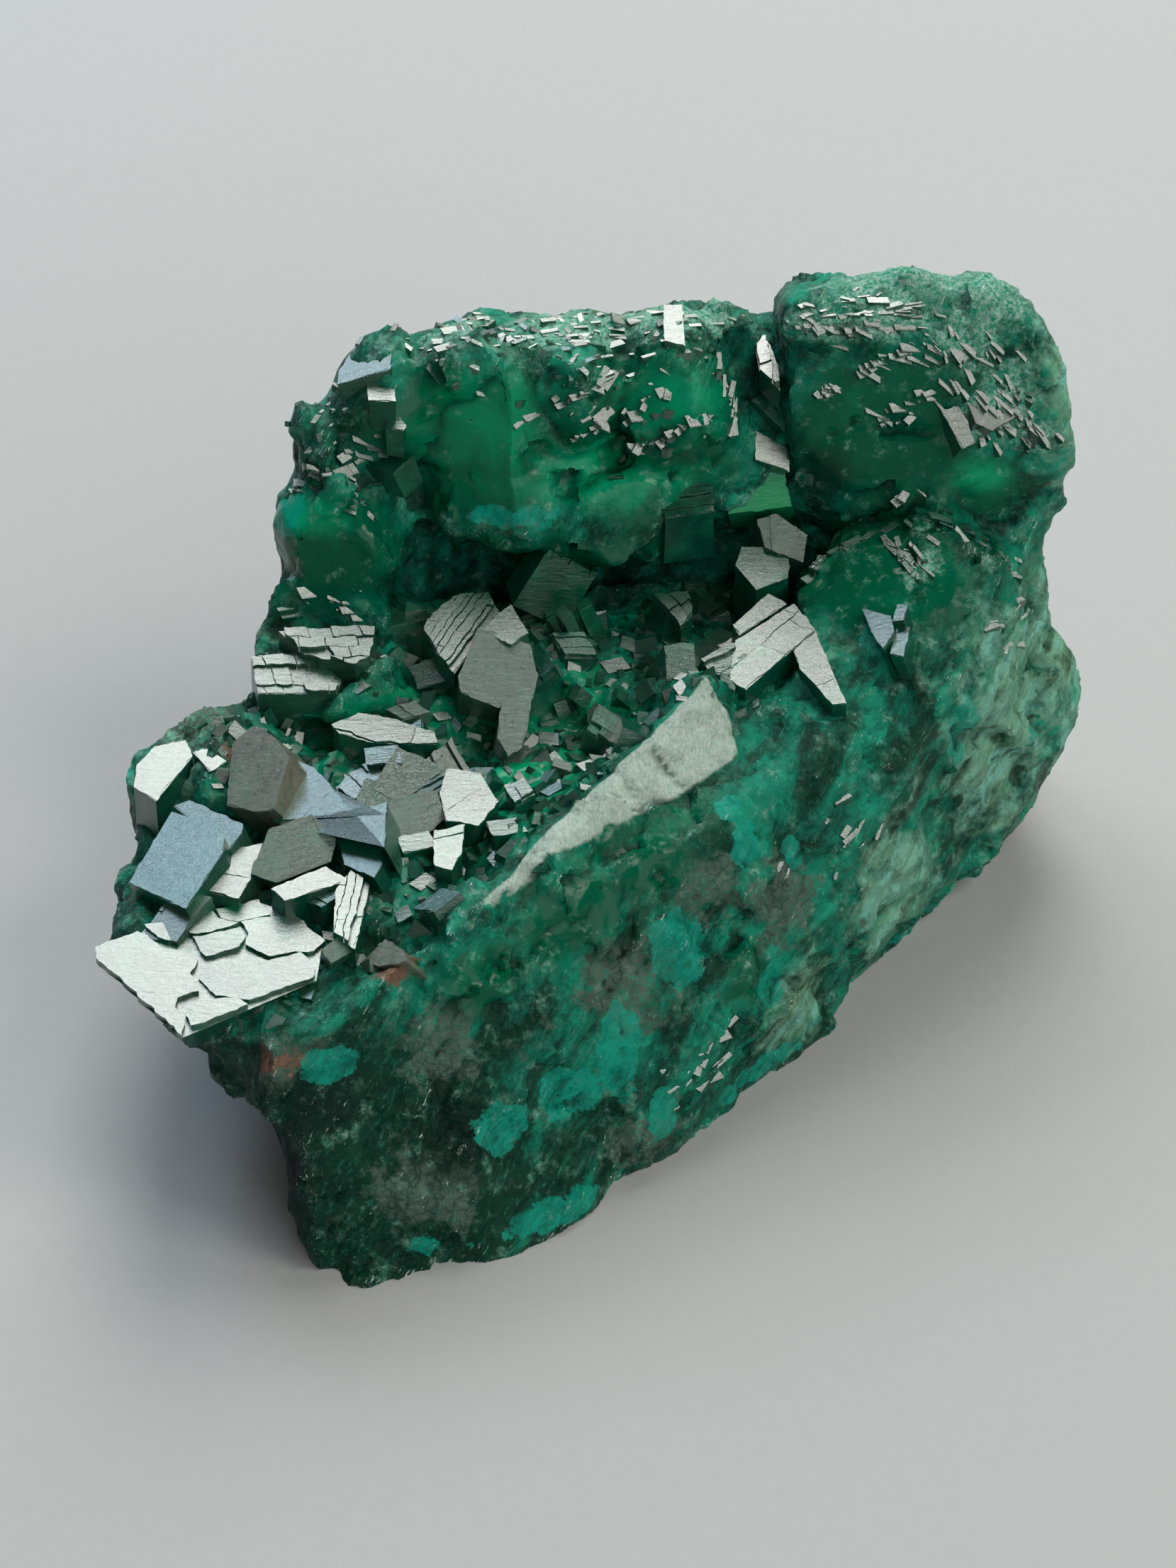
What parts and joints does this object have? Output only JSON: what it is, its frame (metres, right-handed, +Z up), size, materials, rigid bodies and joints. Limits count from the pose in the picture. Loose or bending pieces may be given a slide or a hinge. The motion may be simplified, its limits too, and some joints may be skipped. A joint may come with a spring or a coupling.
{
  "type": "dioptase specimen",
  "caption": "Rough chunk of dark green dioptase: a broken slab with a druse of flat-faced crystals on its ledge, under a lumpy overhanging back wall.",
  "frame": {"origin": "under the middle of the stone's bounding box, on the surface it stands on", "axes": "+Z up, +X to the right along the longest extent, +Y away from the side the picture was taken from"},
  "size_m": [0.0426, 0.039, 0.0274],
  "materials": {
    "dioptase": "glassy dark emerald green on broken faces, mirror-bright on crystal faces, matt grey-green along the rough front"
  },
  "bodies": {
    "root": {"dioptase": "dioptase"}
  },
  "joints": []
}
